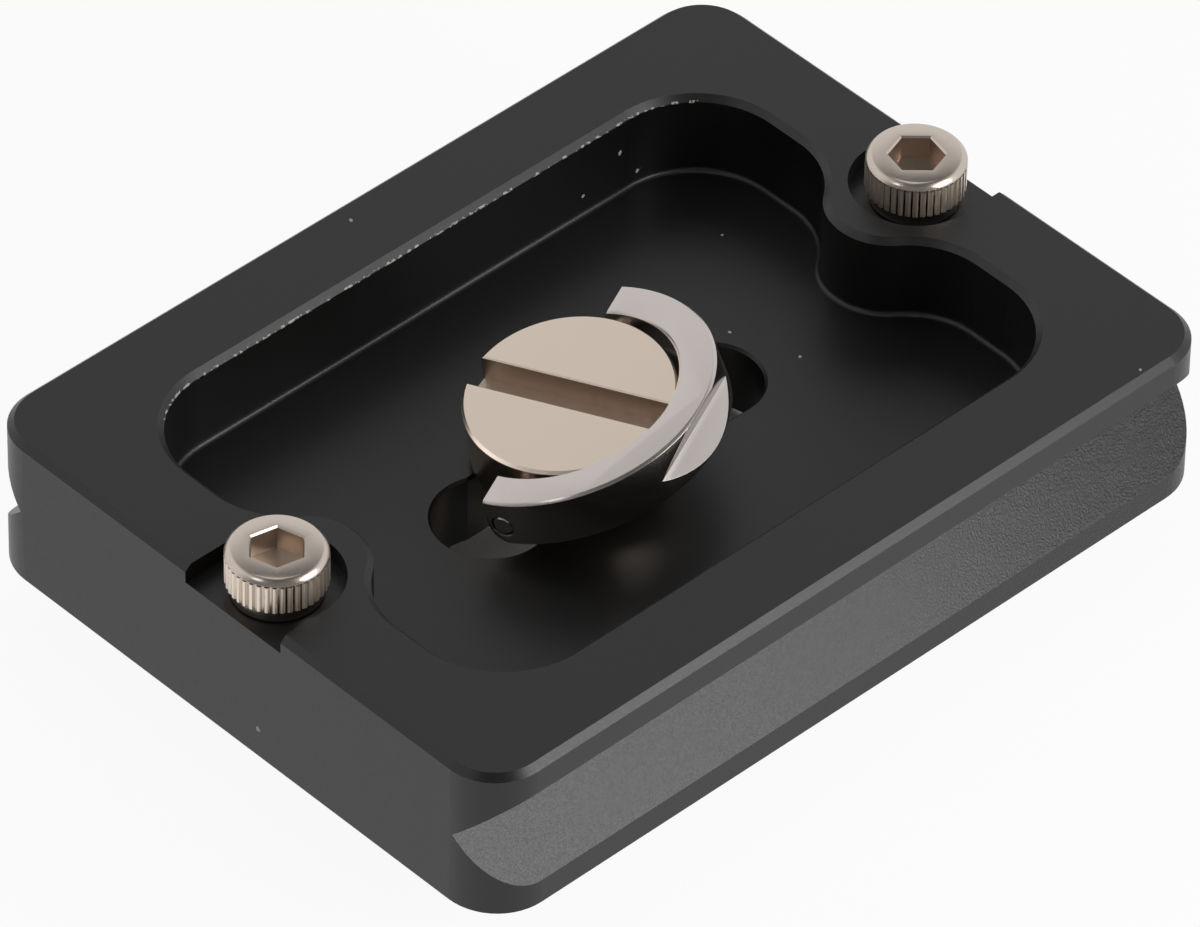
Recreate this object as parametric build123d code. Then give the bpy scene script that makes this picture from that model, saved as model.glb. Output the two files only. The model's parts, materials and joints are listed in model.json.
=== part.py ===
"""Quick release plate for a tripod head, dovetail side up, with its camera screw.

Millimetres. X runs along the dovetail, Y across it and Z up. The origin is the
middle of the camera-side face, so the dovetail rim faces +Z.
"""
from build123d import *
import math
import os

# Plate
plate_length = 51.0
plate_width = 38.0
plate_height = 9.25
corner_radius = 3.05
outer_chamfer = 0.37
flange_height = 1.5
flange_overhang = 0.23
groove_depth = 2.84
groove_angle = 45.0

# Pocket in the dovetail side
floor_thickness = 4.2
end_wall = 5.05
side_wall = 5.0
pocket_corner = 5.2
pocket_chamfer = 0.34
pocket_floor_fillet = 0.3
boss_inset = 5.0
boss_radius = 3.4
boss_blend = 4.75

# Slot through the floor, with a round entry at one end
slot_width = 5.7
slot_reach = 7.8
slot_chamfer = 0.15
entry_radius = 3.05

# Stop screws and their seats
stop_inset = 3.0
seat_radius = 3.55
seat_depth = 1.05
stop_head_radius = 2.68
stop_head_height = 3.0
stop_head_chamfer = 0.35
stop_knurl_count = 40
stop_knurl_depth = 0.14
stop_knurl_margin = 0.35
stop_shank_radius = 1.48
stop_shank_length = 6.0
stop_hole_clearance = 0.04
stop_hole_spare = 0.6
hex_key_width = 2.6
hex_depth = 1.4
hex_chamfer = 0.08
near_hex_turn = 47.0
far_hex_turn = 17.0

# Grip strips in grooves of the camera side
strip_end_margin = 4.5
strip_side_margin = 3.75
strip_width = 7.5
strip_corner = 1.5
strip_groove_depth = 0.8
strip_proud = 0.5
strip_clearance = 0.05

# Camera screw: head, neck and stud
head_radius = 5.6
head_height = 3.7
head_chamfer = 0.15
head_slot_width = 1.9
head_slot_depth = 1.6
neck_radius = 2.5
neck_length = 6.2
stud_radius = 3.1
stud_length = 3.65
stud_chamfer = 0.45
screw_lift = 1.25
screw_x = -1.36
lean_angle = 9.3
lean_heading = 164.0
pivot_heading = 21.0

# Washer that slides on the pocket floor under the screw's head
washer_radius = 4.9
washer_thickness = 0.25
washer_neck_clearance = 0.25
washer_floor_clearance = 0.02

# Lifting ring, about its own centre, with a nail notch cut in its outer wall
ring_gap = 0.5
ring_wall = 2.02
ring_above = 1.45
ring_below = 1.35
ring_chamfer = 0.14
ring_end_top = 0.95
ring_far_end_top = 0.45
ring_far_end_level = 0.45
ring_far_end_reach = 1.05
ring_end_bottom = 1.3
ring_end_round = 1.0
ring_drop = 1.55
ring_raise = 11.5
notch_depth = 1.0
notch_root_drop = 0.2
notch_upper_angle = 60.0
notch_lower_angle = 48.0

# Pivot pins, fixed in the head and free in the ring
pin_forward = 0.3
pin_drop = 0.2
pin_radius = 0.6
pin_in_head = 2.0
pin_ring_clearance = 0.05
pin_head_clearance = 0.01
pin_recess = 0.05
pin_chamfer = 0.12

rim_half_width = plate_width / 2
flank_slope = math.tan(math.radians(groove_angle))
groove_root = flange_height + (groove_depth + flange_overhang) * flank_slope
pocket_half_length = plate_length / 2 - end_wall
pocket_half_width = plate_width / 2 - side_wall
pocket_depth = plate_height - floor_thickness
boss_x = plate_length / 2 - boss_inset
stop_x = plate_length / 2 - stop_inset
seat_level = plate_height - seat_depth
ring_inner = head_radius + ring_gap
ring_outer = ring_inner + ring_wall
strip_length = plate_length - 2 * strip_end_margin
strip_middle = plate_width / 2 - strip_side_margin - strip_width / 2
margin = 1.0


def upright_box(x_size, y_size, z_low, z_high, centre=(0, 0)):
    """Box with a given footprint that spans two heights."""
    x, y = centre
    base = (Align.CENTER, Align.CENTER, Align.MIN)
    return Pos(x, y, z_low) * Box(x_size, y_size, z_high - z_low, align=base)


def upright_cylinder(radius, z_low, z_high, centre=(0, 0)):
    """Cylinder about a vertical axis that spans two heights."""
    x, y = centre
    base = (Align.CENTER, Align.CENTER, Align.MIN)
    return Pos(x, y, z_low) * Cylinder(radius, z_high - z_low, align=base)


def groove_cutter():
    """V prism that cuts both dovetail flanks of the +Y side along the whole plate."""
    root = rim_half_width - groove_depth
    reach = groove_depth + flange_overhang + margin
    section = Plane.YZ * Polygon(
        (root + reach, groove_root - reach * flank_slope),
        (root, groove_root),
        (root + reach, groove_root + reach * flank_slope),
        align=None,
    )
    return extrude(section, amount=plate_length / 2 + margin, both=True)


def pocket_outline():
    """Pocket outline: a round-cornered rectangle that sweeps round a boss at each end."""
    outline = RectangleRounded(2 * pocket_half_length, 2 * pocket_half_width, pocket_corner)
    for side in (-1, 1):
        outline -= Pos(side * boss_x, 0) * Circle(boss_radius)
    necks = [
        corner
        for corner in outline.vertices()
        if abs(abs(corner.X) - pocket_half_length) < 0.01 and abs(corner.Y) <= boss_radius
    ]
    return fillet(necks, radius=boss_blend)


def slot_cutter():
    """Slot through the floor, with its round entry at the -X end."""
    low = -margin
    high = floor_thickness + margin
    cutter = upright_box(2 * slot_reach, slot_width, low, high)
    cutter += upright_cylinder(slot_width / 2, low, high, (slot_reach, 0))
    cutter += upright_cylinder(entry_radius, low, high, (-slot_reach, 0))
    return cutter


def seat_cutter(side):
    """U-shaped seat of one stop screw, open to the short end of the plate."""
    top = plate_height + margin
    length = stop_inset + margin
    run = upright_box(length, 2 * seat_radius, seat_level, top, (side * (stop_x + length / 2), 0))
    return run + upright_cylinder(seat_radius, seat_level, top, (side * stop_x, 0))


def strip_outline(clearance):
    """Outline of a grip strip, or of its groove with a clearance all round."""
    return RectangleRounded(
        strip_length + 2 * clearance, strip_width + 2 * clearance, strip_corner + clearance
    )


def make_plate():
    """Machined plate: flange, rim, flanks, pocket, slot, seats and holes."""
    rim_outline = RectangleRounded(plate_length, plate_width, corner_radius)
    flange_outline = RectangleRounded(
        plate_length, plate_width + 2 * flange_overhang, corner_radius + flange_overhang
    )
    body = Pos(0, 0, groove_root) * extrude(rim_outline, plate_height - groove_root)
    body = chamfer(body.faces().sort_by(Axis.Z)[-1].edges(), length=outer_chamfer)
    body += extrude(flange_outline, groove_root)
    flank = groove_cutter()
    body -= flank
    body -= mirror(flank, about=Plane.XZ)
    pocket = extrude(pocket_outline(), pocket_depth + margin)
    pocket = fillet(pocket.faces().sort_by(Axis.Z)[0].edges(), radius=pocket_floor_fillet)
    body -= Pos(0, 0, floor_thickness) * pocket
    rim = body.faces().filter_by(Axis.Z).sort_by(Axis.Z)[-1]
    body = chamfer(rim.inner_wires()[0].edges(), length=pocket_chamfer)
    body -= slot_cutter()
    floor = body.faces().filter_by(Axis.Z).filter_by_position(
        Axis.Z, floor_thickness - 0.01, floor_thickness + 0.01
    )[0]
    body = chamfer(floor.inner_wires()[0].edges(), length=slot_chamfer)
    hole_radius = stop_shank_radius + stop_hole_clearance
    hole_bottom = seat_level - stop_shank_length - stop_hole_spare
    for side in (-1, 1):
        body -= seat_cutter(side)
        body -= upright_cylinder(hole_radius, hole_bottom, plate_height, (side * stop_x, 0))
        groove = extrude(strip_outline(strip_clearance), strip_groove_depth)
        body -= Pos(0, side * strip_middle) * groove
    return body


def make_strip(side):
    """Rubber grip strip, seated in its groove and standing proud of the camera side."""
    height = strip_groove_depth + strip_proud
    strip = extrude(strip_outline(0), height)
    strip = chamfer(strip.faces().sort_by(Axis.Z)[0].edges(), length=strip_proud / 2)
    return Pos(0, side * strip_middle, -strip_proud) * strip


def knurl_cutter(z_low, z_high):
    """Ring of straight V cuts around a stop screw's head."""
    half_pitch = math.pi / stop_knurl_count
    root = stop_head_radius - stop_knurl_depth
    points = []
    for index in range(2 * stop_knurl_count):
        radius = stop_head_radius if index % 2 else root
        angle = index * half_pitch
        points.append((radius * math.cos(angle), radius * math.sin(angle)))
    outer = Circle(stop_head_radius + margin) - Polygon(*points, align=None)
    return Pos(0, 0, z_low) * extrude(outer, z_high - z_low)


def make_stop_screw(side, hex_turn):
    """Socket-head cap screw with a straight knurl, seated at one end of the plate."""
    head_top = stop_head_height
    head = upright_cylinder(stop_head_radius, 0, head_top)
    head = chamfer(head.faces().sort_by(Axis.Z)[-1].edges(), length=stop_head_chamfer)
    head -= knurl_cutter(stop_knurl_margin, head_top)
    hex_radius = hex_key_width / math.sqrt(3)
    socket = Pos(0, 0, head_top - hex_depth) * extrude(RegularPolygon(hex_radius, 6), hex_depth)
    lead_in = Pos(0, 0, head_top - hex_chamfer) * Cone(
        hex_key_width / 2,
        hex_key_width / 2 + 2 * hex_chamfer,
        2 * hex_chamfer,
        align=(Align.CENTER, Align.CENTER, Align.MIN),
    )
    head -= Rot(0, 0, hex_turn) * socket
    head -= lead_in
    shank = upright_cylinder(stop_shank_radius, -stop_shank_length, 0)
    shank = chamfer(shank.faces().sort_by(Axis.Z)[0].edges(), length=stop_shank_radius / 4)
    return Pos(side * stop_x, 0, seat_level) * (head + shank)


def lean_vector():
    """Unit vector along the camera screw, which leans in its slot."""
    lean = math.radians(lean_angle)
    heading = math.radians(lean_heading)
    return (
        math.sin(lean) * math.cos(heading),
        math.sin(lean) * math.sin(heading),
        math.cos(lean),
    )


def screw_place():
    """Location of the screw's own frame: its axis up, its pivot pins along X."""
    heading = math.radians(pivot_heading)
    frame = Plane(
        origin=(screw_x, 0, floor_thickness),
        x_dir=(math.cos(heading), math.sin(heading), 0),
        z_dir=lean_vector(),
    )
    return frame.location


def ring_place():
    """Location of the ring's own frame, raised a little, in the screw's own frame."""
    level = screw_lift + head_height - ring_drop
    return Pos(0, 0, level) * Rot(-ring_raise, 0, 0)


def pin_axis(side):
    """Location on the pivot axis in the screw's own frame, its Z out along one pin."""
    return ring_place() * Pos(0, pin_forward, -pin_drop) * Rot(0, side * 90, 0)


def make_washer():
    """Thin washer between the screw's head and the pocket floor."""
    low = floor_thickness + washer_floor_clearance
    high = low + washer_thickness
    washer = upright_cylinder(washer_radius, low, high, (screw_x, 0))
    bore = neck_radius + washer_neck_clearance
    return washer - upright_cylinder(bore, low - margin, high + margin, (screw_x, 0))


def make_camera_screw():
    """Turned screw: slotted head, thin neck and the stud that enters the camera."""
    head_top = screw_lift + head_height
    head = upright_cylinder(head_radius, screw_lift, head_top)
    head = chamfer(head.edges().filter_by(GeomType.CIRCLE), length=head_chamfer)
    head -= upright_box(
        head_slot_width, 2 * head_radius + margin, head_top - head_slot_depth, head_top + margin
    )
    hole_radius = pin_radius + pin_head_clearance
    hole = upright_cylinder(hole_radius, head_radius - pin_in_head, head_radius + margin)
    for side in (-1, 1):
        head -= pin_axis(side) * hole
    neck_bottom = screw_lift - neck_length
    neck = upright_cylinder(neck_radius, neck_bottom, screw_lift + head_height / 2)
    stud = upright_cylinder(stud_radius, neck_bottom - stud_length, neck_bottom)
    stud = chamfer(stud.edges().filter_by(GeomType.CIRCLE), length=stud_chamfer)
    return screw_place() * (head + neck + stud)


def ring_profile(end_corner):
    """Side view of one half of the ring: its end is rounded below round the pivot pin."""
    reach = ring_outer + margin
    bottom_corner = (ring_end_bottom, -ring_below)
    profile = Polygon(
        (-reach, -ring_below),
        bottom_corner,
        *end_corner,
        (-reach, ring_above),
        align=None,
    )
    corner = profile.vertices().sort_by_distance((*bottom_corner, 0))[0]
    return Plane.YZ * fillet(corner, radius=ring_end_round)


def notch_cutter():
    """V prism that cuts the nail notch in the ring's outer wall."""
    root = -(ring_outer - notch_depth)
    reach = notch_depth + margin
    rise = reach * math.tan(math.radians(notch_upper_angle))
    fall = reach * math.tan(math.radians(notch_lower_angle))
    section = Plane.YZ * Polygon(
        (root, -notch_root_drop),
        (root - reach, rise - notch_root_drop),
        (root - reach, -fall - notch_root_drop),
        align=None,
    )
    return extrude(section, amount=ring_outer, both=True)


def make_ring():
    """Lifting ring: a half ring with a nail notch, free on the two pivot pins."""
    ring = upright_cylinder(ring_outer, -ring_below, ring_above)
    ring -= upright_cylinder(ring_inner, -ring_below - margin, ring_above + margin)
    ring = chamfer(ring.faces().sort_by(Axis.Z)[-1].edges(), length=ring_chamfer)
    near_end = [(ring_end_top, ring_above)]
    far_end = [(ring_far_end_reach, ring_far_end_level), (ring_far_end_top, ring_above)]
    reach = ring_outer + margin
    ring &= extrude(ring_profile(near_end), amount=-reach) + extrude(ring_profile(far_end), amount=reach)
    ring -= notch_cutter()
    hole = Rot(0, 90, 0) * Cylinder(pin_radius + pin_ring_clearance, 4 * ring_outer)
    ring -= Pos(0, pin_forward, -pin_drop) * hole
    return screw_place() * ring_place() * ring


def make_pin(side):
    """Pivot pin, fixed in the head and reaching through one end of the ring."""
    inner = head_radius - pin_in_head
    outer = ring_outer - pin_recess
    pin = upright_cylinder(pin_radius, inner, outer)
    pin = chamfer(pin.faces().sort_by(Axis.Z)[-1].edges(), length=pin_chamfer)
    return screw_place() * pin_axis(side) * pin


def write(name, shape):
    """Write one named piece as a STEP file."""
    shape.label = name
    export_step(shape, f"parts/{name}.step")


os.makedirs("parts", exist_ok=True)
write("plate_body", make_plate())
write("grip_strip_left", make_strip(1))
write("grip_strip_right", make_strip(-1))
write("stop_screw_near", make_stop_screw(-1, near_hex_turn))
write("stop_screw_far", make_stop_screw(1, far_hex_turn))
write("slide_washer", make_washer())
write("camera_screw", make_camera_screw())
write("lifting_ring", make_ring())
write("ring_pin_near", make_pin(-1))
write("ring_pin_far", make_pin(1))
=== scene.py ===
"""Looks of a tripod quick release plate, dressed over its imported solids.

Lengths are in metres, in the part's own frame: X along the dovetail, Y across
it, Z from the camera side to the dovetail rim.
"""

import json
import logging
import math
from dataclasses import dataclass, field
from enum import Enum, IntEnum
from typing import Callable, Iterable, Sequence

import bmesh
import bpy
from mathutils import Matrix, Vector


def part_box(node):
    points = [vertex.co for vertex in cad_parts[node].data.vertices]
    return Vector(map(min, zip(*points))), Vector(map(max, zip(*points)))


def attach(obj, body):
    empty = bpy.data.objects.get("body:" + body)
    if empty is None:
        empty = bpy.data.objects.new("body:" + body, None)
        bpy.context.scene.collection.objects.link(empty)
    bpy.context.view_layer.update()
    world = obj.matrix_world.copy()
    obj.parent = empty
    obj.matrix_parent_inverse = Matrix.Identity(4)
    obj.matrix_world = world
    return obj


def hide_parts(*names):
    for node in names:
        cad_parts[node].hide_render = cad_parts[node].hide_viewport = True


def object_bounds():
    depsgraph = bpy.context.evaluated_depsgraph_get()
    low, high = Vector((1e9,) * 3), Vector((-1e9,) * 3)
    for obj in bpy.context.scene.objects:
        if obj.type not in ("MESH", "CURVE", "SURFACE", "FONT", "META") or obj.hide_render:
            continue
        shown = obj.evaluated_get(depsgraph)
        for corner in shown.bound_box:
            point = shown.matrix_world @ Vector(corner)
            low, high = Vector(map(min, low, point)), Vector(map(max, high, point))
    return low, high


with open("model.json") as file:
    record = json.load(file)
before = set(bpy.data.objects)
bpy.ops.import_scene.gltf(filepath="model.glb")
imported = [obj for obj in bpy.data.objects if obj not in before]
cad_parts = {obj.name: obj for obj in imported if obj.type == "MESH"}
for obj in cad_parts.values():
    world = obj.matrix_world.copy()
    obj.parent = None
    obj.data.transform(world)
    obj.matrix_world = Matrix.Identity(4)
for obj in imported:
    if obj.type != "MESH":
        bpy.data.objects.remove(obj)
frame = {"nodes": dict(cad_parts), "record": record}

log = logging.getLogger("quick_release_plate")

MM = 0.001
PHOTO_WIDTH = 1200
QUARTER_TURN = math.radians(90)
HEXAGON = 6
SHARP_EDGE = math.radians(32)
FLAT_FACE = math.radians(0.5)
TOUCH = MM / 100
MERGE_REACH = MM / 1000
# Range in which most of a noise texture's values lie
NOISE_SPAN = (0.3, 0.7)
CAD_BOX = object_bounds()
# Centre and radius of each small nick in the black oxide, in millimetres
NICKS = (
    (1.73, 13.77, 9.08, 0.15),
    (-24.62, 4.1, 9.05, 0.15),
    (-24.2, 4.12, 9.05, 0.11),
    (-23.82, 4.15, 9.05, 0.1),
    (20.56, -18.34, 9.25, 0.07),
    (-1.32, 17.58, 9.25, 0.09),
    (-25.5, -1.85, 1.84, 0.13),
    (14.6, 14.0, 6.93, 0.12),
    (15.88, 14.0, 5.01, 0.12),
    (11.95, 14.0, 5.48, 0.1),
    (16.22, 7.86, 4.2, 0.08),
    (12.49, -1.85, 4.2, 0.09),
    (11.17, 2.02, 4.2, 0.08),
    (25.5, -16.49, 5.44, 0.1),
)


class Body(Enum):
    """Moving groups of the part that new pieces ride on."""

    PLATE = "plate"
    SCREW = "screw"
    RING = "ring"


class Slot(Enum):
    """Material slots of the part's record, not used by any piece here."""

    NICKEL = "nickel"
    RING_STEEL = "ring_steel"
    RUBBER = "rubber"


class Side(Enum):
    """Short ends of the plate."""

    NEAR = "near"
    FAR = "far"


class ScrewFace(IntEnum):
    """Material numbers on a stop screw."""

    HEAD = 0
    KNURL = 1
    SOCKET = 2


# Mesh helpers


def add_object(name: str, mesh: bpy.types.Mesh) -> bpy.types.Object:
    """Put a mesh in the scene as an object at the origin.

    Args:
        name: The object's name.
        mesh: Its mesh, with its place in its vertices.

    Returns:
        The new object.
    """
    mesh.name = name
    obj = bpy.data.objects.new(name, mesh)
    bpy.context.scene.collection.objects.link(obj)
    return obj


def mark_sharp(mesh: bpy.types.Mesh) -> None:
    """Shade a mesh smooth, but keep its steep edges crisp.

    Args:
        mesh: The mesh to shade.
    """
    work = bmesh.new()
    work.from_mesh(mesh)
    for face in work.faces:
        face.smooth = True
    for edge in work.edges:
        edge.smooth = len(edge.link_faces) == 2 and edge.calc_face_angle(0.0) < SHARP_EDGE
    work.to_mesh(mesh)
    work.free()


def revolve(profile: Sequence[tuple[float, float]], segments: int) -> bpy.types.Mesh:
    """Turn a closed profile that starts and ends on the Z axis.

    Args:
        profile: Radius and height pairs, from the lower axis point to the upper.
        segments: Number of steps around the axis.

    Returns:
        A closed mesh.
    """
    work = bmesh.new()
    turns = [math.tau * step / segments for step in range(segments)]
    rings: list[list[bmesh.types.BMVert]] = []
    for radius, height in profile:
        if radius == 0.0:
            rings.append([work.verts.new((0.0, 0.0, height))])
            continue
        corners = [(radius * math.cos(turn), radius * math.sin(turn), height) for turn in turns]
        rings.append([work.verts.new(corner) for corner in corners])
    for low, high in zip(rings, rings[1:]):
        for step in range(segments):
            after = (step + 1) % segments
            if len(low) == 1:
                work.faces.new((low[0], high[after], high[step]))
            elif len(high) == 1:
                work.faces.new((low[step], low[after], high[0]))
            else:
                work.faces.new((low[step], low[after], high[after], high[step]))
    bmesh.ops.recalc_face_normals(work, faces=work.faces)
    mesh = bpy.data.meshes.new("turned")
    work.to_mesh(mesh)
    work.free()
    return mesh


def prism(outline: Sequence[tuple[float, float]], low: float, high: float) -> bpy.types.Mesh:
    """Raise a flat outline between two heights.

    Args:
        outline: Corner points, anticlockwise seen from above.
        low: Height of the lower face.
        high: Height of the upper face.

    Returns:
        A closed mesh.
    """
    work = bmesh.new()
    floor = [work.verts.new((x, y, low)) for x, y in outline]
    lid = [work.verts.new((x, y, high)) for x, y in outline]
    work.faces.new(list(reversed(floor)))
    work.faces.new(lid)
    for index in range(len(outline)):
        after = (index + 1) % len(outline)
        work.faces.new((floor[index], floor[after], lid[after], lid[index]))
    mesh = bpy.data.meshes.new("prism")
    work.to_mesh(mesh)
    work.free()
    return mesh


def polygon(radius: float, corners: int, turn: float) -> list[tuple[float, float]]:
    """Corner points of a regular polygon.

    Args:
        radius: Distance of a corner from the middle.
        corners: Number of corners.
        turn: Angle of the first corner, in radians.

    Returns:
        The corners, anticlockwise.
    """
    angles = [turn + math.tau * index / corners for index in range(corners)]
    return [(radius * math.cos(angle), radius * math.sin(angle)) for angle in angles]


def cut(target: bpy.types.Object, cutter: bpy.types.Mesh) -> None:
    """Cut a closed mesh out of an object.

    Args:
        target: The object that is cut.
        cutter: The solid that is taken away.
    """
    tool = add_object("tool", cutter)
    modifier = target.modifiers.new("cut", "BOOLEAN")
    modifier.operation = "DIFFERENCE"
    modifier.solver = "EXACT"
    modifier.object = tool
    bake_modifiers(target)
    bpy.data.objects.remove(tool)


def bake_modifiers(obj: bpy.types.Object) -> None:
    """Turn an object's modifiers into its plain mesh and drop them.

    Args:
        obj: The object.
    """
    bpy.context.view_layer.update()
    evaluated = obj.evaluated_get(bpy.context.evaluated_depsgraph_get())
    mesh = bpy.data.meshes.new_from_object(evaluated)
    obj.modifiers.clear()
    obj.data = mesh


def ease_edges(obj: bpy.types.Object, width: float, segments: int) -> None:
    """Round an object's crisp edges a little.

    Args:
        obj: The object to ease.
        width: Width of the rounding.
        segments: Steps across the rounding.
    """
    modifier = obj.modifiers.new("ease", "BEVEL")
    modifier.width = width
    modifier.segments = segments
    modifier.limit_method = "ANGLE"
    modifier.angle_limit = SHARP_EDGE
    bake_modifiers(obj)


def merged_copy(node: str) -> bpy.types.Mesh:
    """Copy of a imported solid's mesh with its corners joined and flat faces whole.

    Args:
        node: Name of the CAD node.

    Returns:
        The new mesh.
    """
    work = bmesh.new()
    work.from_mesh(frame["nodes"][node].data)
    bmesh.ops.remove_doubles(work, verts=work.verts, dist=MERGE_REACH)
    bmesh.ops.dissolve_limit(work, angle_limit=FLAT_FACE, verts=work.verts, edges=work.edges)
    mesh = bpy.data.meshes.new(node)
    work.to_mesh(mesh)
    work.free()
    return mesh


# Shader helper


@dataclass
class NodeSheet:
    """Short calls for laying out the nodes of a material or a world."""

    owner: bpy.types.Material | bpy.types.World

    def __post_init__(self) -> None:
        """Start the owner with an empty sheet."""
        self.owner.use_nodes = True
        self.tree = self.owner.node_tree
        self.tree.nodes.clear()

    def add(self, kind: str, **values: object) -> bpy.types.Node:
        """Add one node.

        Args:
            kind: The node's type name.
            values: Attributes of the node, or inputs by their name with spaces as underscores.

        Returns:
            The node.
        """
        node = self.tree.nodes.new(kind)
        for key, value in values.items():
            label = key.replace("_", " ")
            if label in node.inputs:
                node.inputs[label].default_value = value
            else:
                setattr(node, key, value)
        return node

    def link(self, start: bpy.types.NodeSocket, end: bpy.types.NodeSocket) -> None:
        """Join an output socket to an input socket."""
        self.tree.links.new(start, end)

    def noise(
        self, scale: float, detail: float = 2.0, stretch: Sequence[float] = (1, 1, 1)
    ) -> bpy.types.NodeSocket:
        """Noise over the object's own coordinates.

        Args:
            scale: Number of noise cells in a metre.
            detail: Number of finer layers.
            stretch: Extra scale along each axis.

        Returns:
            The socket of its value.
        """
        place = self.add("ShaderNodeTexCoord")
        mapping = self.add("ShaderNodeMapping", Scale=tuple(stretch))
        texture = self.add("ShaderNodeTexNoise", Scale=scale, Detail=detail)
        self.link(place.outputs["Object"], mapping.inputs["Vector"])
        self.link(mapping.outputs["Vector"], texture.inputs["Vector"])
        return texture.outputs["Fac"]

    def axes(self) -> bpy.types.NodeOutputs:
        """Split the object's own coordinates.

        Returns:
            The sockets of X, Y and Z.
        """
        place = self.add("ShaderNodeTexCoord")
        split = self.add("ShaderNodeSeparateXYZ")
        self.link(place.outputs["Object"], split.inputs[0])
        return split.outputs

    def math(self, operation: str, *values: bpy.types.NodeSocket | float) -> bpy.types.NodeSocket:
        """Work out a value from sockets or plain numbers.

        Args:
            operation: The Math node's operation.
            values: Its inputs in order.

        Returns:
            The socket of the result.
        """
        node = self.add("ShaderNodeMath", operation=operation)
        for index, value in enumerate(values):
            if isinstance(value, bpy.types.NodeSocket):
                self.link(value, node.inputs[index])
            else:
                node.inputs[index].default_value = value
        return node.outputs[0]

    def remap(
        self,
        value: bpy.types.NodeSocket,
        source: tuple[float, float],
        target: tuple[float, float],
    ) -> bpy.types.NodeSocket:
        """Spread a value from one range over another.

        Args:
            value: The socket that is read.
            source: Lowest and highest value read.
            target: Value given at each of them.

        Returns:
            The socket of the result.
        """
        node = self.add("ShaderNodeMapRange")
        for label, level in zip(("From Min", "From Max", "To Min", "To Max"), (*source, *target)):
            node.inputs[label].default_value = level
        self.link(value, node.inputs["Value"])
        return node.outputs["Result"]

    def bump(self, height: bpy.types.NodeSocket, distance: float) -> bpy.types.NodeSocket:
        """Fine relief from a height.

        Args:
            height: The socket of the height, 0 to 1.
            distance: Depth of the relief.

        Returns:
            The socket of the normal.
        """
        node = self.add("ShaderNodeBump", Strength=1.0, Distance=distance)
        self.link(height, node.inputs["Height"])
        return node.outputs["Normal"]

    def blend(
        self, factor: bpy.types.NodeSocket, low: Sequence[float], high: Sequence[float]
    ) -> bpy.types.NodeSocket:
        """Blend two colours.

        Args:
            factor: The socket of the share of the second colour.
            low: First colour, linear red, green and blue.
            high: Second colour.

        Returns:
            The socket of the colour.
        """
        node = self.add("ShaderNodeMix", data_type="RGBA")
        colours = [socket for socket in node.inputs if socket.type == "RGBA"]
        for socket, colour in zip(colours, (low, high)):
            socket.default_value = (*colour, 1.0)
        self.link(factor, node.inputs[0])
        return next(socket for socket in node.outputs if socket.type == "RGBA")

    def close(self, shader: bpy.types.Node) -> bpy.types.Material | bpy.types.World:
        """Send a shader to the owner's surface.

        Args:
            shader: The last node.

        Returns:
            The material or world.
        """
        is_world = isinstance(self.owner, bpy.types.World)
        output = self.add("ShaderNodeOutputWorld" if is_world else "ShaderNodeOutputMaterial")
        self.link(shader.outputs[0], output.inputs["Surface"])
        return self.owner


# Finishes


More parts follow.
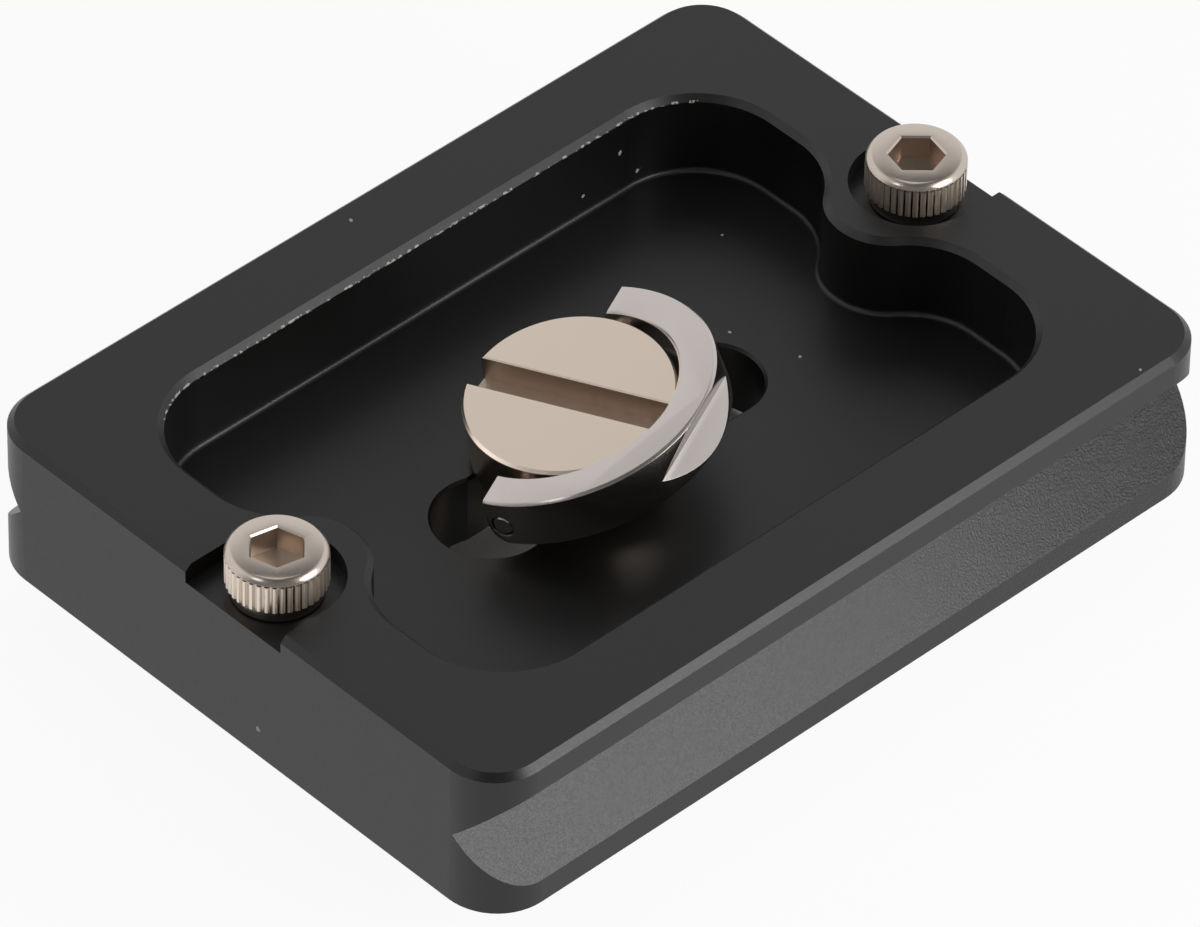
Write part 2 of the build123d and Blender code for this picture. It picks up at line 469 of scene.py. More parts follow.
@dataclass(frozen=True)
class AnodisedBlack:
    """Dyed oxide over fine-blasted aluminium, chipped through in a few small nicks, with a painted
    speckled highlight along the pocket's far rim.
    """

    colour: tuple[float, float, float] = (0.0034, 0.0029, 0.0027)
    # Uncoated aluminium colour of the real nicks, also used for the painted highlight along the far
    # rim
    bare_and_highlight: tuple[float, float, float] = (0.42, 0.4, 0.38)
    roughness: tuple[float, float] = (0.36, 0.44)
    grain_scale: float = 9000.0
    grain_depth: float = 0.0012 * MM
    coarse_scale: float = 8000.0
    coarse_gain: float = 60.0
    # Coarse blasting: its start and full strength along X, and the Y and Z that it stays below
    coarse_from: tuple[float, float] = (2.0 * MM, 24.0 * MM)
    side_face: float = -16.0 * MM
    rim_foot: float = 7.4 * MM
    # Painted highlight along the pocket's far rim: its height, its middle and half width across,
    # its reach along X
    highlight_height: float = 8.92 * MM
    highlight_half_width: float = 0.06 * MM
    highlight_across: tuple[float, float] = (13.7 * MM, 1.1 * MM)
    highlight_reach: float = 19.0 * MM
    highlight_scale: float = 3200.0
    highlight_level: float = 0.56
    nicks: tuple[tuple[float, float, float, float], ...] = NICKS
    nick_scale: float = 6000.0
    nick_ragged: tuple[float, float] = (0.6, 1.3)

    def coarse(self, sheet: NodeSheet) -> bpy.types.NodeSocket:
        """Height of the coarser blasting towards the far end of the long side.

        Args:
            sheet: The material's nodes.

        Returns:
            The socket of the height.
        """
        x, y, z = sheet.axes()
        outside = sheet.math("LESS_THAN", y, self.side_face)
        groove = sheet.math("MULTIPLY", outside, sheet.math("LESS_THAN", z, self.rim_foot))
        gain = sheet.remap(x, self.coarse_from, (0.0, self.coarse_gain))
        share = sheet.math("MULTIPLY", gain, groove)
        return sheet.math("MULTIPLY", sheet.noise(self.coarse_scale), share)

    def painted_rim_highlight(self, sheet: NodeSheet) -> bpy.types.NodeSocket:
        """Mask of the painted speckled highlight along the pocket's far rim.

        Args:
            sheet: The material's nodes.

        Returns:
            The socket of the mask.
        """
        x, y, z = sheet.axes()
        band = sheet.math("COMPARE", z, self.highlight_height, self.highlight_half_width)
        across = sheet.math("COMPARE", y, *self.highlight_across)
        stretch = sheet.math("MULTIPLY", across, sheet.math("COMPARE", x, 0.0, self.highlight_reach))
        highlight_speckle = sheet.noise(self.highlight_scale, detail=4.0)
        spots = sheet.math("GREATER_THAN", highlight_speckle, self.highlight_level)
        return sheet.math("MULTIPLY", sheet.math("MULTIPLY", band, stretch), spots)

    def nicked(self, sheet: NodeSheet) -> bpy.types.NodeSocket:
        """Mask of the single nicks, each a ragged spot.

        Args:
            sheet: The material's nodes.

        Returns:
            The socket of the mask.
        """
        place = sheet.add("ShaderNodeTexCoord").outputs["Object"]
        ragged = sheet.remap(sheet.noise(self.nick_scale), NOISE_SPAN, self.nick_ragged)
        mask: bpy.types.NodeSocket | float = 0.0
        for x, y, z, radius in self.nicks:
            span = sheet.add("ShaderNodeVectorMath", operation="DISTANCE")
            sheet.link(place, span.inputs[0])
            span.inputs[1].default_value = (x * MM, y * MM, z * MM)
            reach = sheet.math("MULTIPLY", span.outputs["Value"], ragged)
            mask = sheet.math("MAXIMUM", mask, sheet.math("LESS_THAN", reach, radius * MM))
        return mask

    def make(self) -> bpy.types.Material:
        """Build the finish.

        Returns:
            The material.
        """
        sheet = NodeSheet(bpy.data.materials.new("Black anodised aluminium"))
        shader = sheet.add("ShaderNodeBsdfPrincipled", Metallic=0.0, IOR=1.5)
        # Uncoated colour at the real nicks, and as a painted highlight along the pocket's far rim
        nicks_and_highlight = sheet.math("MAXIMUM", self.painted_rim_highlight(sheet), self.nicked(sheet))
        sheet.link(sheet.blend(nicks_and_highlight, self.colour, self.bare_and_highlight), shader.inputs["Base Color"])
        grain = sheet.noise(self.grain_scale, detail=3.0)
        relief = sheet.math("ADD", grain, self.coarse(sheet))
        sheet.link(sheet.remap(grain, NOISE_SPAN, self.roughness), shader.inputs["Roughness"])
        sheet.link(sheet.bump(relief, self.grain_depth), shader.inputs["Normal"])
        return sheet.close(shader)


@dataclass(frozen=True)
class PlatedMetal:
    """Bare or plated metal with a faint satin grain."""

    name: str
    colour: tuple[float, float, float]
    roughness: tuple[float, float]
    grain_scale: float = 7000.0
    stretch: tuple[float, float, float] = (1.0, 1.0, 1.0)
    grain_depth: float = 0.0004 * MM

    def make(self) -> bpy.types.Material:
        """Build the finish.

        Returns:
            The material.
        """
        sheet = NodeSheet(bpy.data.materials.new(self.name))
        shader = sheet.add("ShaderNodeBsdfPrincipled", Metallic=1.0)
        shader.inputs["Base Color"].default_value = (*self.colour, 1.0)
        grain = sheet.noise(self.grain_scale, detail=3.0, stretch=self.stretch)
        sheet.link(sheet.remap(grain, NOISE_SPAN, self.roughness), shader.inputs["Roughness"])
        sheet.link(sheet.bump(grain, self.grain_depth), shader.inputs["Normal"])
        return sheet.close(shader)


@dataclass(frozen=True)
class MattPolymer:
    """Rubber or plastic with a soft sheen."""

    name: str
    colour: tuple[float, float, float]
    roughness: float
    grain_scale: float = 3000.0
    grain_depth: float = 0.01 * MM

    def make(self) -> bpy.types.Material:
        """Build the finish.

        Returns:
            The material.
        """
        sheet = NodeSheet(bpy.data.materials.new(self.name))
        shader = sheet.add("ShaderNodeBsdfPrincipled", Roughness=self.roughness)
        shader.inputs["Base Color"].default_value = (*self.colour, 1.0)
        relief = sheet.bump(sheet.noise(self.grain_scale), self.grain_depth)
        sheet.link(relief, shader.inputs["Normal"])
        return sheet.close(shader)


class Finishes:
    """Every finish of the plate, made once."""

    def __init__(self) -> None:
        """Make the materials."""
        self.anodised = AnodisedBlack().make()
        self.nickel = PlatedMetal("Nickel plated steel", (0.98, 0.84, 0.71), (0.2, 0.27)).make()
        # Painted light and shade: the stop screws' one plating takes two tones, darker on the head
        # and lighter on the ridged side, for how light falls on them
        self.screw_head_painted_shade = PlatedMetal("Plated screw head, painted shade", (0.52, 0.455, 0.4), (0.2, 0.27)).make()
        self.knurl_painted_light = PlatedMetal("Knurled screw side, painted light", (0.82, 0.73, 0.64), (0.42, 0.52)).make()
        # Painted shade: the streaks and roughness of this machined finish are real, its darker tone
        # stands for the shade in the screws' slot and socket walls
        self.milled_with_painted_shade = PlatedMetal(
            "Milled nickel, painted shade",
            (0.5, 0.41, 0.34),
            (0.3, 0.44),
            grain_scale=2200.0,
            stretch=(1.0, 1.0, 0.12),
            grain_depth=0.004 * MM,
        ).make()
        self.steel = PlatedMetal(
            "Satin steel", (0.5, 0.46, 0.44), (0.2, 0.26), grain_depth=0.0002 * MM
        ).make()
        self.rubber = MattPolymer("Grip rubber", (0.02, 0.02, 0.02), 0.7).make()
        self.polymer = MattPolymer("Washer polymer", (0.02, 0.02, 0.02), 0.5).make()


def dress(obj: bpy.types.Object, *materials: bpy.types.Material) -> None:
    """Give an object these materials only, its faces keeping their numbers.

    Args:
        obj: The object to dress.
        materials: Its materials, in the order of the faces' numbers.
    """
    numbers = [min(face.material_index, len(materials) - 1) for face in obj.data.polygons]
    obj.data.materials.clear()
    for material in materials:
        obj.data.materials.append(material)
    obj.data.polygons.foreach_set("material_index", numbers)


# Geometry node trees


class CopiesTree:
    """Tree that sets copies of one shape on points that a subclass lays."""

    sizes: tuple[tuple[str, str], ...] = ()

    def __init__(self, name: str) -> None:
        """Build the tree with its named inputs.

        Args:
            name: The tree's name.
        """
        self.tree = bpy.data.node_groups.new(name, "GeometryNodeTree")
        inputs = (
            ("Shape", "NodeSocketObject"),
            ("Count", "NodeSocketInt"),
            *self.sizes,
            ("Material", "NodeSocketMaterial"),
        )
        for label, kind in inputs:
            self.tree.interface.new_socket(label, in_out="INPUT", socket_type=kind)
        self.tree.interface.new_socket(
            "Geometry", in_out="OUTPUT", socket_type="NodeSocketGeometry"
        )
        self.entry = self.add("NodeGroupInput")
        self.copies = self.add("GeometryNodeInstanceOnPoints")
        self.lay_points()
        source = self.add("GeometryNodeObjectInfo")
        real = self.add("GeometryNodeRealizeInstances")
        coat = self.add("GeometryNodeSetMaterial")
        leave = self.add("NodeGroupOutput")
        self.link(self.entry, "Shape", source, "Object")
        self.link(source, "Geometry", self.copies, "Instance")
        self.link(self.copies, "Instances", real, "Geometry")
        self.link(real, "Geometry", coat, "Geometry")
        self.link(self.entry, "Material", coat, "Material")
        self.link(coat, "Geometry", leave, "Geometry")

    def add(self, kind: str) -> bpy.types.Node:
        """Add one node of a kind."""
        return self.tree.nodes.new(kind)

    def link(self, start: bpy.types.Node, output: str, end: bpy.types.Node, entry: str) -> None:
        """Join two nodes.

        Args:
            start: The node that gives.
            output: Name of its output.
            end: The node that takes.
            entry: Name of its input.
        """
        self.tree.links.new(start.outputs[output], end.inputs[entry])

    def lay_points(self) -> None:
        """Give the copies their points and their turn."""
        raise NotImplementedError

    def grow(self, **values: object) -> bpy.types.Mesh:
        """Set the copies.

        Args:
            values: What each of the tree's inputs gets, by the input's name.

        Returns:
            One plain mesh with every copy.
        """
        holder = add_object("holder", bpy.data.meshes.new("holder"))
        modifier = holder.modifiers.new("copies", "NODES")
        modifier.node_group = self.tree
        for item in self.tree.interface.items_tree:
            if item.in_out == "INPUT":
                modifier[item.identifier] = values[item.name]
        bake_modifiers(holder)
        mesh = holder.data
        bpy.data.objects.remove(holder)
        return mesh


class RingArrayTree(CopiesTree):
    """Copies around a circle, each with its +X outwards."""

    sizes = (("Radius", "NodeSocketFloat"),)

    def lay_points(self) -> None:
        """Lay the points on the circle and turn each copy outwards."""
        circle = self.add("GeometryNodeMeshCircle")
        place = self.add("GeometryNodeInputPosition")
        turn = self.add("FunctionNodeAlignRotationToVector")
        turn.axis = "X"
        self.link(self.entry, "Count", circle, "Vertices")
        self.link(self.entry, "Radius", circle, "Radius")
        self.link(place, "Position", turn, "Vector")
        self.link(circle, "Mesh", self.copies, "Points")
        self.link(turn, "Rotation", self.copies, "Rotation")


class RibRowTree(CopiesTree):
    """Copies side by side in a straight row."""

    sizes = (("Start", "NodeSocketVector"), ("Step", "NodeSocketVector"))

    def lay_points(self) -> None:
        """Lay the points in the row."""
        row = self.add("GeometryNodeMeshLine")
        row.mode = "OFFSET"
        self.link(self.entry, "Count", row, "Count")
        self.link(self.entry, "Start", row, "Start Location")
        self.link(self.entry, "Step", row, "Offset")
        self.link(row, "Mesh", self.copies, "Points")


def merge(name: str, meshes: Iterable[bpy.types.Mesh]) -> bpy.types.Object:
    """Put several meshes in one object.

    Args:
        name: The object's name.
        meshes: The meshes, each a closed shell.

    Returns:
        The object.
    """
    work = bmesh.new()
    for mesh in meshes:
        work.from_mesh(mesh)
    joined = bpy.data.meshes.new(name)
    work.to_mesh(joined)
    work.free()
    return add_object(name, joined)


# Pieces of the plate


@dataclass
class StopScrew:
    """Knurled cap screw with a hexagon socket, one at each short end."""

    side: Side
    finishes: Finishes
    ring: RingArrayTree
    head_radius: float = 2.68 * MM
    core_radius: float = 2.5 * MM
    head_height: float = 3.0 * MM
    edge: float = 0.35 * MM
    edge_steps: int = 5
    # Above 1, the edge's curve is flatter than a circle
    edge_power: float = 1.5
    ridge_count: int = 40
    ridge_start: float = 0.74 * MM
    ridge_top: float = 0.6 * MM
    ridge_sunk: float = 0.12 * MM
    ridge_root: float = 0.03 * MM
    ridge_round: float = 0.02 * MM
    # Share of a ridge's half pitch that it fills at its foot, root and crest
    ridge_shares: tuple[float, float, float] = (0.9, 0.62, 0.36)
    # Slope of a ridge's lower and upper end
    ridge_slopes: tuple[float, float] = (0.7, 0.6)
    ridge_end: float = 0.12 * MM
    foot_radius: float = 2.42 * MM
    key_width: float = 2.6 * MM
    socket_depth: float = 1.4 * MM
    socket_lead: float = 0.1 * MM
    # Most that a face leans and still counts as the socket's wall
    wall_tilt: float = 0.2
    drill_depth: float = 0.45 * MM
    drill_share: float = 0.97
    drill_lap: float = 0.02 * MM
    shank_radius: float = 1.48 * MM
    shank_length: float = 6.0 * MM
    tip_share: float = 0.25
    head_segments: int = 96
    drill_segments: int = 64
    # Angle of the socket's first corner, in degrees
    corner_turn: dict[Side, float] = field(
        default_factory=lambda: {Side.NEAR: 47.0, Side.FAR: 17.0}
    )

    def node(self) -> str:
        """Name of the CAD node that this screw stands for."""
        return f"stop_screw_{self.side.value}"

    def profile(self) -> list[tuple[float, float]]:
        """Outline of the head and shank, from the tip upwards.

        Returns:
            Radius and height pairs.
        """
        top = self.head_height
        tip = self.shank_radius * self.tip_share
        flat = self.head_radius - self.edge
        points = [
            (0.0, -self.shank_length),
            (self.shank_radius - tip, -self.shank_length),
            (self.shank_radius, tip - self.shank_length),
            (self.shank_radius, 0.0),
            (self.foot_radius - self.socket_lead, 0.0),
            (self.foot_radius, self.socket_lead),
            (self.core_radius, self.ridge_start),
            (self.core_radius, top - self.edge - (self.head_radius - self.core_radius)),
        ]
        for step in range(self.edge_steps + 1):
            turn = QUARTER_TURN * step / self.edge_steps
            across = (self.head_radius - flat) * math.cos(turn) ** self.edge_power
            rise = self.edge * math.sin(turn) ** self.edge_power
            points.append((min(flat + across, self.head_radius), top - self.edge + rise))
        return [*points, (0.0, top)]

    def core(self) -> bpy.types.Object:
        """Turn the head and shank and cut the socket in.

        Returns:
            The screw without its knurl.
        """
        top = self.head_height
        screw = add_object("core", revolve(self.profile(), self.head_segments))
        turn = math.radians(self.corner_turn[self.side])
        corner = self.key_width / math.sqrt(3)
        floor = top - self.socket_depth
        cut(screw, prism(polygon(corner, HEXAGON, turn), floor, top + MM))
        cut(screw, self.lead_in(corner, turn))
        reach = self.key_width / 2 * self.drill_share
        lap = floor + self.drill_lap
        drill = ((0.0, floor - self.drill_depth), (reach, floor), (reach, lap), (0.0, lap))
        cut(screw, revolve(drill, self.drill_segments))
        wall_top = top - self.socket_lead / 2
        # Socket walls take the darker machined finish: painted shade in the socket
        for face in screw.data.polygons:
            upright = abs(face.normal.z) < self.wall_tilt
            wall = upright and floor < face.center.z < wall_top and face.center.xy.length < corner
            face.material_index = ScrewFace.SOCKET if wall else ScrewFace.HEAD
        return screw

    def lead_in(self, corner: float, turn: float) -> bpy.types.Mesh:
        """Shape the six-sided cutter that eases the socket's mouth.

        Args:
            corner: Distance of the socket's corners from the axis.
            turn: Angle of the first corner, in radians.

        Returns:
            The cutter.
        """
        lead = self.socket_lead
        top = self.head_height
        spread = (corner + 2 * lead) / corner
        mesh = prism(polygon(corner, HEXAGON, turn), top - lead, top + lead)
        for vertex in mesh.vertices:
            if vertex.co.z > top:
                vertex.co.x *= spread
                vertex.co.y *= spread
        return mesh

    def ridge(self) -> bpy.types.Object:
        """Shape one knurl ridge, its foot sunk in the core.

        Returns:
            The ridge.
        """
        half = math.pi * self.head_radius / self.ridge_count
        foot = self.core_radius - self.ridge_sunk
        crest = self.head_radius
        levels = (foot, self.core_radius + self.ridge_root, crest - self.ridge_round)
        flank = [(x, half * share) for x, share in zip(levels, self.ridge_shares)]
        section = [(x, -y) for x, y in flank] + [(crest, 0.0)] + flank[::-1]
        low_slope, high_slope = self.ridge_slopes
        limit = self.head_height - self.ridge_top
        work = bmesh.new()
        low, high = [], []
        for x, y in section:
            base = self.ridge_start + max(0.0, x - self.core_radius) * low_slope
            low.append(work.verts.new((x, y, base)))
        for x, y in section:
            head = limit + min(self.ridge_end, max(0.0, x - foot) * high_slope)
            high.append(work.verts.new((x, y, head)))
        work.faces.new(low)
        work.faces.new(list(reversed(high)))
        for index in range(len(section)):
            after = (index + 1) % len(section)
            work.faces.new((low[index], high[index], high[after], low[after]))
        bmesh.ops.recalc_face_normals(work, faces=work.faces)
        bmesh.ops.translate(work, verts=work.verts, vec=(-self.core_radius, 0.0, 0.0))
        mesh = bpy.data.meshes.new("ridge")
        work.to_mesh(mesh)
        work.free()
        return add_object("ridge", mesh)

    def build(self) -> bpy.types.Object:
        """Put the screw together in its seat.

        Returns:
            The finished screw.
        """
        node_low, node_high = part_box(self.node())
        middle = Vector((node_low[0] + node_high[0], node_low[1] + node_high[1], 0.0)) / 2
        middle.z = node_high[2] - self.head_height
        core = self.core()
        ridge = self.ridge()
        ridges = self.ring.grow(
            Shape=ridge,
            Count=self.ridge_count,
            Radius=self.core_radius,
            Material=self.finishes.knurl_painted_light,
        )
        for face in ridges.polygons:
            face.material_index = ScrewFace.KNURL
        screw = merge(f"{self.node()}_dressed", (core.data, ridges))
        bpy.data.objects.remove(core)
        bpy.data.objects.remove(ridge)
        screw.data.transform(Matrix.Translation(middle))
        mark_sharp(screw.data)
        # The head's darker tone is painted shade, the knurl's lighter tone painted light
        dress(screw, self.finishes.screw_head_painted_shade, self.finishes.knurl_painted_light, self.finishes.milled_with_painted_shade)
        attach(screw, Body.PLATE.value)
        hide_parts(self.node())
        return screw


@dataclass
class CameraScrew:
    """Slotted screw that leans in the plate's slot, with its stud's thread."""

    finishes: Finishes
    head_radius: float = 5.6 * MM
    head_height: float = 3.7 * MM
    head_segments: int = 144
    edge: float = 0.15 * MM
    lift: float = 1.25 * MM
    slot_width: float = 1.9 * MM
    slot_depth: float = 1.6 * MM
    slot_ease: float = 0.07 * MM
    neck_radius: float = 2.5 * MM
    neck_length: float = 6.2 * MM
    neck_sunk: float = 0.3 * MM
    stud_radius: float = 3.1 * MM
    stud_length: float = 3.65 * MM
    stud_taper: float = 0.45 * MM
    thread_pitch: float = 1.27 * MM
    thread_depth: float = 0.6 * MM
    # The thread's wave before it is cut off flat: its peak and its fall over a pitch
    thread_crest: float = 1.3
    thread_flank: float = 3.4
    steps_around: int = 72
    steps_in_pitch: int = 12

    def place(self) -> Matrix:
        """Find the screw's own frame: its axis along Z, its pins along X.

        Returns:
            The frame.
        """
        joints = {joint["name"]: joint for joint in frame["record"]["behaviour"]["joints"]}
        up = Vector(joints["screw_turn"]["axis"]).normalized()
        along = -Vector(joints["ring_fold"]["axis"]).normalized()
        across = up.cross(along)
        turn = Matrix((along, across, up)).transposed().to_4x4()
        return Matrix.Translation(Vector(joints["screw_turn"]["pos_m"])) @ turn

    def thread_radius(self, height: float, angle: float) -> float:
        """Radius of the stud's surface at one point.

        Args:
            height: Height above the stud's tip.
            angle: Angle around the axis.

        Returns:
            The radius, which tapers at the tip and under the neck.
        """
        phase = (height / self.thread_pitch - angle / math.tau) % 1.0
        wave = self.thread_crest - abs(phase - 0.5) * self.thread_flank
        radius = self.stud_radius - self.thread_depth * (1.0 - max(0.0, min(1.0, wave)))
        ends = min(height, self.stud_length - height)
        return min(radius, self.stud_radius - self.stud_taper + ends)

    def stud(self) -> bpy.types.Mesh:
        """Shape the threaded stud.

        Returns:
            One closed mesh.
        """
        work = bmesh.new()
        levels = round(self.stud_length / self.thread_pitch * self.steps_in_pitch)
        bottom = self.lift - self.neck_length - self.stud_length
        rings = []
        for level in range(levels + 1):
            height = self.stud_length * level / levels
            ring = []
            for step in range(self.steps_around):
                angle = math.tau * step / self.steps_around
                radius = self.thread_radius(height, angle)
                across = (radius * math.cos(angle), radius * math.sin(angle))
                ring.append(work.verts.new((*across, bottom + height)))
            rings.append(ring)
        for low, high in zip(rings, rings[1:]):
            for step in range(self.steps_around):
                after = (step + 1) % self.steps_around
                work.faces.new((low[step], low[after], high[after], high[step]))
        work.faces.new(list(reversed(rings[0])))
        work.faces.new(rings[-1])
        mesh = bpy.data.meshes.new("stud")
        work.to_mesh(mesh)
        work.free()
        return mesh

    def head(self) -> bpy.types.Object:
        """Turn the head and neck and cut the driver's slot in.

        Returns:
            The screw without its stud.
        """
        top = self.lift + self.head_height
        neck_end = self.lift - self.neck_length - self.neck_sunk
        profile = (
            (0.0, neck_end),
            (self.neck_radius, neck_end),
            (self.neck_radius, self.lift),
            (self.head_radius - self.edge, self.lift),
            (self.head_radius, self.lift + self.edge),
            (self.head_radius, top - self.edge),
            (self.head_radius - self.edge, top),
            (0.0, top),
        )
        head = add_object("head", revolve(profile, self.head_segments))
        half = self.slot_width / 2
        reach = self.head_radius + MM
        ease = self.slot_ease
        floor = top - self.slot_depth
        outline = (
            (-half, floor),
            (half, floor),
            (half, top - ease),
            (half + ease + MM, top + MM),
            (-half - ease - MM, top + MM),
            (-half, top - ease),
        )
        groove = prism(outline, -reach, reach)
        groove.transform(Matrix.Rotation(QUARTER_TURN, 4, "X"))
        cut(head, groove)
        # Slot faces take the darker machined finish: painted shade in the slot
        for face in head.data.polygons:
            middle = face.center
            level = floor - TOUCH < middle.z < top - ease / 2
            inside = abs(middle.x) < half + TOUCH and abs(middle.y) < self.head_radius
            face.material_index = int(level and inside)
        return head

    def build(self) -> bpy.types.Object:
        """Put the screw together in the plate's slot.

        Returns:
            The finished screw.
        """
        head = self.head()
        screw = merge("camera_screw_dressed", (head.data, self.stud()))
        bpy.data.objects.remove(head)
        screw.data.transform(self.place())
        mark_sharp(screw.data)
        dress(screw, self.finishes.nickel, self.finishes.milled_with_painted_shade)
        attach(screw, Body.SCREW.value)
        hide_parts("camera_screw")
        return screw


@dataclass
class LiftingRing:
    """Folding ring with its nail notch, its edges eased by polishing."""

    finishes: Finishes
    ease: float = 0.2 * MM
    steps: int = 3

    def build(self) -> bpy.types.Object:
        """Round the ring's edges, in place of its plain solid.

        Returns:
            The finished ring.
        """
        ring = add_object("lifting_ring_dressed", merged_copy("lifting_ring"))
        ease_edges(ring, self.ease, self.steps)
        mark_sharp(ring.data)
        dress(ring, self.finishes.steel)
        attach(ring, Body.RING.value)
        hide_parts("lifting_ring")
        return ring


@dataclass
class GripRibs:
    """Low cross ribs on one rubber strip of the camera side."""

    node: str
    finishes: Finishes
    row: RibRowTree
    pitch: float = 1.5 * MM
    width: float = 0.75 * MM
    crest_share: float = 0.62
    rise: float = 0.12 * MM
    margin: float = 1.2 * MM
    sunk: float = 0.1 * MM

    def rib(self, half_length: float) -> bpy.types.Object:
        """Shape one rib with eased crests, its foot sunk in the strip.

        Args:
            half_length: Half of the rib's length across the strip.

        Returns:
            The rib.
        """
        half = self.width / 2
        crest = half * self.crest_share
        outline = ((-half, self.sunk), (-crest, -self.rise), (crest, -self.rise), (half, self.sunk))
        mesh = prism(outline, -half_length, half_length)
        mesh.transform(Matrix.Rotation(QUARTER_TURN, 4, "X"))
        return add_object("rib", mesh)

    def build(self) -> bpy.types.Object:
        """Lay the ribs of one strip.

        Returns:
            The ribs.
        """
        low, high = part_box(self.node)
        rib = self.rib((high[1] - low[1]) / 2 - self.margin)
        room = high[0] - low[0] - 2 * self.margin
        count = int(room / self.pitch)
        first = low[0] + self.margin + (room - (count - 1) * self.pitch) / 2
        mesh = self.row.grow(
            Shape=rib,
            Count=count,
            Start=Vector((first, (low[1] + high[1]) / 2, low[2])),
            Step=Vector((self.pitch, 0.0, 0.0)),
            Material=self.finishes.rubber,
        )
        ribs = add_object(f"{self.node}_ribs", mesh)
        bpy.data.objects.remove(rib)
        mark_sharp(ribs.data)
        dress(ribs, self.finishes.rubber)
        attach(ribs, Body.PLATE.value)
        return ribs


@dataclass
class SolidPieces:
    """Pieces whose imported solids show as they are, with a finish."""

    finishes: Finishes

    def build(self) -> None:
        """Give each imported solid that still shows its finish."""
        coats = {
            "plate_body": self.finishes.anodised,
            "grip_strip_left": self.finishes.rubber,
            "grip_strip_right": self.finishes.rubber,
            "slide_washer": self.finishes.polymer,
            "ring_pin_near": self.finishes.steel,
            "ring_pin_far": self.finishes.steel,
        }
        for name, material in coats.items():
            dress(frame["nodes"][name], material)
            log.info("finish on %s", name)


# Studio


@dataclass(frozen=True)
class Lamp:
    """One soft square lamp that faces the plate.

    The azimuth goes anticlockwise from +X and the elevation up from the
    horizon, both in degrees. The distance and size are in metres, the power
    in watts.
    """

    name: str
    azimuth: float
    elevation: float
    distance: float
    size: float
    power: float

    def build(self) -> None:
        """Add the lamp to the scene."""
        turn, rise = math.radians(self.azimuth), math.radians(self.elevation)
        level = math.cos(rise)
        towards = Vector((math.cos(turn) * level, math.sin(turn) * level, math.sin(rise)))
        data = bpy.data.lights.new(self.name, "AREA")
        data.size = self.size
        data.energy = self.power
        lamp = bpy.data.objects.new(self.name, data)
        facing = towards.to_track_quat("Z", "Y").to_matrix().to_4x4()
        lamp.matrix_world = Matrix.Translation(towards * self.distance) @ facing
        bpy.context.scene.collection.objects.link(lamp)


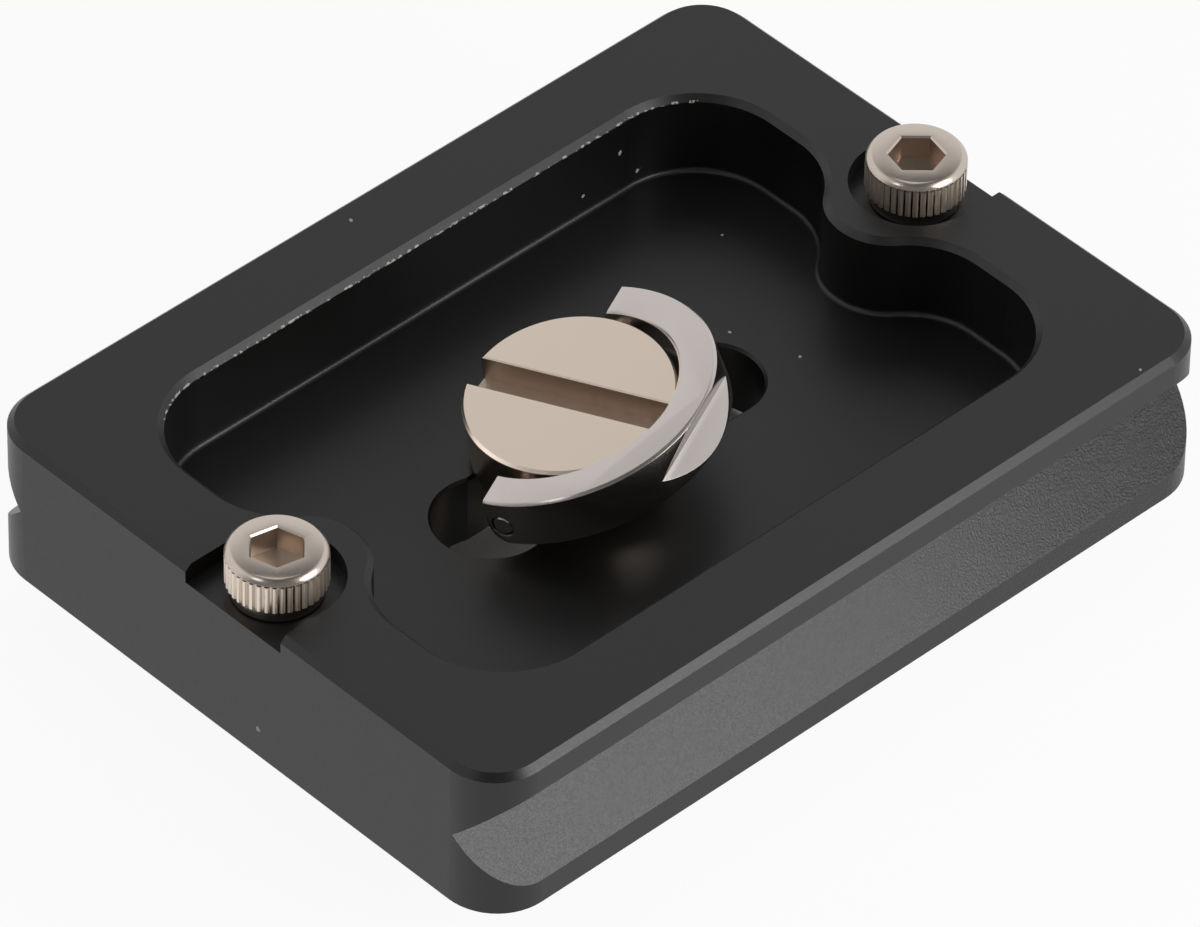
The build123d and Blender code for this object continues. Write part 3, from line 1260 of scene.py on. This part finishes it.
@dataclass
class Studio:
    """Plain pale floor, soft lamps and the camera at the photograph's angle."""

    azimuth: float = -44.307
    elevation: float = 41.936
    roll: float = 1.238
    distance: float = 594.896 * MM
    focal_pixels: float = 11604.99
    aim: tuple[float, float, float] = (-1.487 * MM, -1.478 * MM, 5.0 * MM)
    sensor: float = 36.0
    clip_end: float = 20.0
    floor_level: float = CAD_BOX[0][2]
    floor_size: float = 3.0
    floor_grey: float = 0.9
    floor_white: float = 0.93
    # Painted shade under the plate: the floor's white glow is withdrawn there so that its real
    # shade shows, with a painted soft edge; how far inside the plate's edge, and how softly it ends
    footprint_margin: float = 7.5 * MM
    footprint_fade: float = 4.0 * MM
    ambient: float = 0.3
    # Sky seen in reflections: its strength low down and overhead, and where it fades
    sky_low: float = 1.3
    sky_high: float = 0.25
    sky_tilt: tuple[float, float, float] = (0.1, 0.0, 1.0)
    sky_fade: tuple[float, float] = (0.62, 0.88)
    # Side on which reflections get only a share of that sky
    dim_side: tuple[float, float, float] = (-0.7, -0.72, 0.0)
    dim_fade: tuple[float, float] = (0.15, 0.6)
    dim_share: float = 0.25
    lamps: tuple[Lamp, ...] = (
        Lamp("Key", azimuth=-68.0, elevation=30.0, distance=0.22, size=0.1, power=0.24),
        Lamp("Left", azimuth=180.0, elevation=44.0, distance=0.3, size=0.06, power=0.03),
        Lamp("Top", azimuth=100.0, elevation=86.0, distance=0.9, size=0.5, power=0.7),
    )

    def camera(self) -> None:
        """Add the camera and make it the scene's own."""
        turn = math.radians(self.azimuth)
        rise = math.radians(self.elevation)
        tilt = math.radians(self.roll)
        level = math.cos(rise)
        back = Vector((math.sin(turn) * level, -math.cos(turn) * level, math.sin(rise)))
        flat = (-back).cross(Vector((0.0, 0.0, 1.0))).normalized()
        upright = flat.cross(-back)
        right = math.cos(tilt) * flat + math.sin(tilt) * upright
        up = -math.sin(tilt) * flat + math.cos(tilt) * upright
        lens = bpy.data.cameras.new("Photo camera")
        lens.sensor_width = self.sensor
        lens.lens = self.focal_pixels * self.sensor / PHOTO_WIDTH
        lens.clip_end = self.clip_end
        camera = bpy.data.objects.new("Photo camera", lens)
        facing = Matrix((right, up, back)).transposed().to_4x4()
        camera.matrix_world = Matrix.Translation(Vector(self.aim) + back * self.distance) @ facing
        bpy.context.scene.collection.objects.link(camera)
        bpy.context.scene.camera = camera

    def white_seen(self, sheet: NodeSheet) -> bpy.types.NodeSocket:
        """Tell the rays that see the floor as white.

        Args:
            sheet: The floor's nodes.

        Returns:
            The socket that is 1 for camera, glossy and transmission rays.
        """
        path = sheet.add("ShaderNodeLightPath").outputs
        seen = sheet.math("MAXIMUM", path["Is Camera Ray"], path["Is Glossy Ray"])
        return sheet.math("MAXIMUM", seen, path["Is Transmission Ray"])

    def outside_footprint(self, sheet: NodeSheet) -> bpy.types.NodeSocket:
        """Socket that is 0 on the floor under the plate and 1 beyond it.

        Args:
            sheet: The floor's nodes.

        Returns:
            The socket, which fades between the two.
        """
        shares = []
        for axis, low, high in zip(sheet.axes()[:2], *CAD_BOX):
            half = (high - low) / 2 - self.footprint_margin
            size = sheet.math("ABSOLUTE", axis)
            shares.append(sheet.remap(size, (half - self.footprint_fade, half), (0.0, 1.0)))
        return sheet.math("MAXIMUM", *shares)

    def floor(self) -> None:
        """Lay the pale floor, which looks white beyond the plate and keeps its shadow."""
        half = self.floor_size / 2
        outline = ((-half, -half), (half, -half), (half, half), (-half, half))
        floor = add_object("Floor", prism(outline, self.floor_level - MM, self.floor_level))
        sheet = NodeSheet(bpy.data.materials.new("Pale floor"))
        grey = self.floor_grey
        paper = sheet.add("ShaderNodeBsdfDiffuse", Color=(grey, grey, grey, 1.0))
        glow = sheet.add("ShaderNodeEmission", Color=(1.0, 1.0, 1.0, 1.0), Strength=1.0)
        mix = sheet.add("ShaderNodeMixShader")
        share = sheet.remap(self.white_seen(sheet), (0.0, 1.0), (0.0, self.floor_white))
        # Withdrawing the glow under the plate shows real shade there, and its fading edge is
        # painted shade
        share = sheet.math("MULTIPLY", share, self.outside_footprint(sheet))
        for index, socket in enumerate((share, paper.outputs[0], glow.outputs[0])):
            sheet.link(socket, mix.inputs[index])
        dress(floor, sheet.close(mix))

    def world(self) -> None:
        """Surround the plate with soft white light that fades overhead in reflections."""
        world = bpy.data.worlds.new("Soft white room")
        bpy.context.scene.world = world
        sheet = NodeSheet(world)
        path = sheet.add("ShaderNodeLightPath").outputs
        ray = sheet.add("ShaderNodeTexCoord").outputs["Generated"]
        shares = []
        for side, span, levels in (
            (self.sky_tilt, self.sky_fade, (self.sky_low, self.sky_high)),
            (self.dim_side, self.dim_fade, (1.0, self.dim_share)),
        ):
            along = sheet.add("ShaderNodeVectorMath", operation="DOT_PRODUCT")
            along.inputs[1].default_value = side
            sheet.link(ray, along.inputs[0])
            shares.append(sheet.remap(along.outputs["Value"], span, levels))
        glossy = sheet.add("ShaderNodeMapRange")
        glossy.inputs["To Min"].default_value = self.ambient
        sheet.link(path["Is Glossy Ray"], glossy.inputs["Value"])
        sheet.link(sheet.math("MULTIPLY", *shares), glossy.inputs["To Max"])
        seen = sheet.math("MAXIMUM", path["Is Camera Ray"], path["Is Transmission Ray"])
        sky = sheet.add("ShaderNodeBackground")
        strength = sheet.math("MAXIMUM", seen, glossy.outputs["Result"])
        sheet.link(strength, sky.inputs["Strength"])
        sheet.close(sky)

    def build(self) -> None:
        """Set up the whole studio."""
        bpy.context.scene.view_settings.view_transform = "Standard"
        self.world()
        self.floor()
        self.camera()
        for lamp in self.lamps:
            lamp.build()


def main() -> None:
    """Build and dress every piece in order."""
    logging.basicConfig(level=logging.INFO)
    finishes = Finishes()
    SolidPieces(finishes).build()
    ring = RingArrayTree("Ring of copies")
    row = RibRowTree("Row of ribs")
    pieces: list[Callable[[], bpy.types.Object]] = [
        StopScrew(Side.NEAR, finishes, ring).build,
        StopScrew(Side.FAR, finishes, ring).build,
        CameraScrew(finishes).build,
        LiftingRing(finishes).build,
        GripRibs("grip_strip_left", finishes, row).build,
        GripRibs("grip_strip_right", finishes, row).build,
    ]
    for build in pieces:
        log.info("built %s", build().name)
    Studio().build()


if __name__ == "__main__":
    main()
